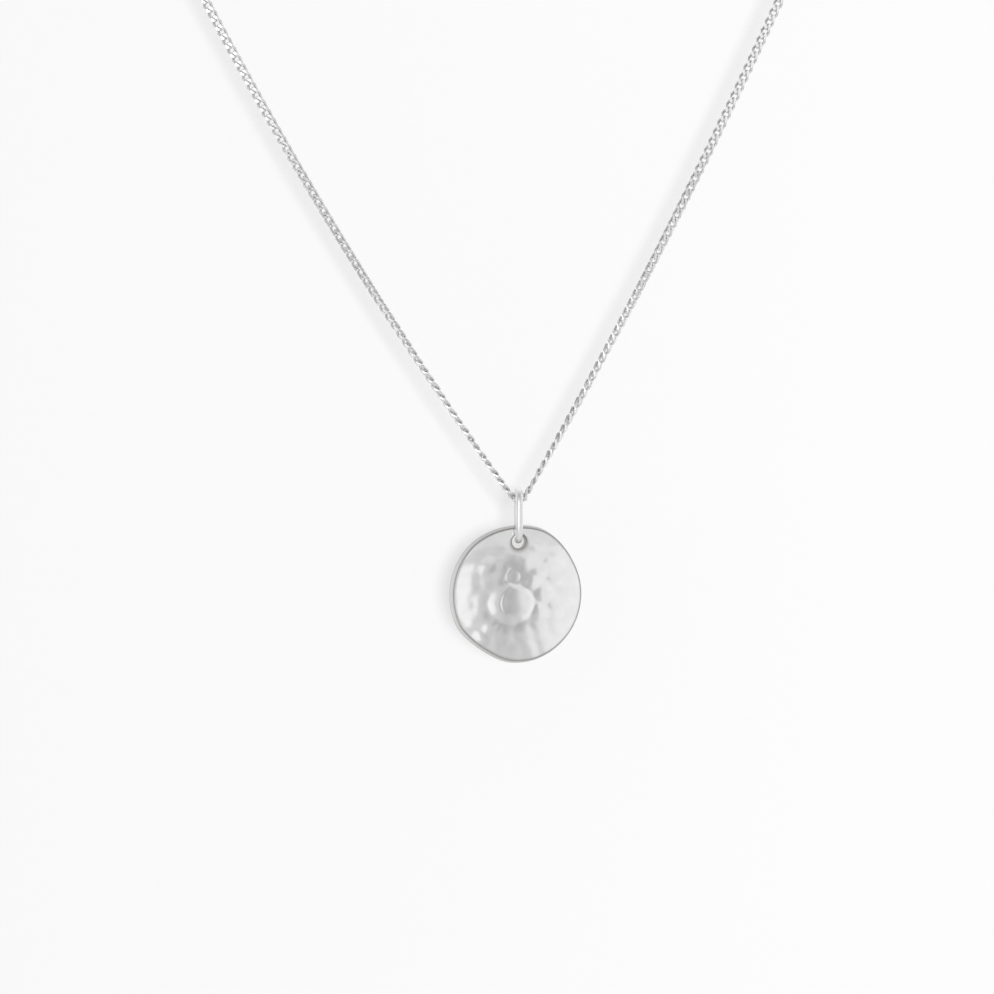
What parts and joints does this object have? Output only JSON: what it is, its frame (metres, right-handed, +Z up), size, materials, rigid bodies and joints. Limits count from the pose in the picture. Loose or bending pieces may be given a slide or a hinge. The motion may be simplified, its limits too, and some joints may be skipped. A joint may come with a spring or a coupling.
{
  "type": "moon pendant",
  "caption": "Full moon pendant: a hammered and dished silver disc on an oval jump ring, hanging from a fine curb chain that closes with a bolt ring clasp.",
  "frame": {"origin": "top of the chain's loop, in the wire of the clasp's ring, where the necklace lies on the nape or hangs from a peg", "axes": "+Z up, -Y the way the moon's hollow face looks, +X to the right as seen from the front"},
  "size_m": [0.1137, 0.0048, 0.2004],
  "materials": {
    "hammered_silver": "hammered on the hollow face and polished, with a fine satin wear",
    "polished_silver": "polished sterling silver"
  },
  "bodies": {
    "necklace": {"chain": "polished_silver", "clasp": "polished_silver"},
    "ring": {"jump_ring": "polished_silver"},
    "moon": {"moon_disc": "hammered_silver"}
  },
  "joints": [
    {"name": "ring_swing", "type": "hinge", "parent": "necklace", "child": "ring", "pos_m": [0.00406, 0, -0.18007], "axis": [0.9976, 0.0698, 0], "range_deg": [-80, 80]},
    {"name": "moon_sway", "type": "hinge", "parent": "ring", "child": "moon", "pos_m": [0.00406, 0, -0.18372], "axis": [-0.2419, 0.9703, 0], "range_deg": [-60, 60]}
  ]
}
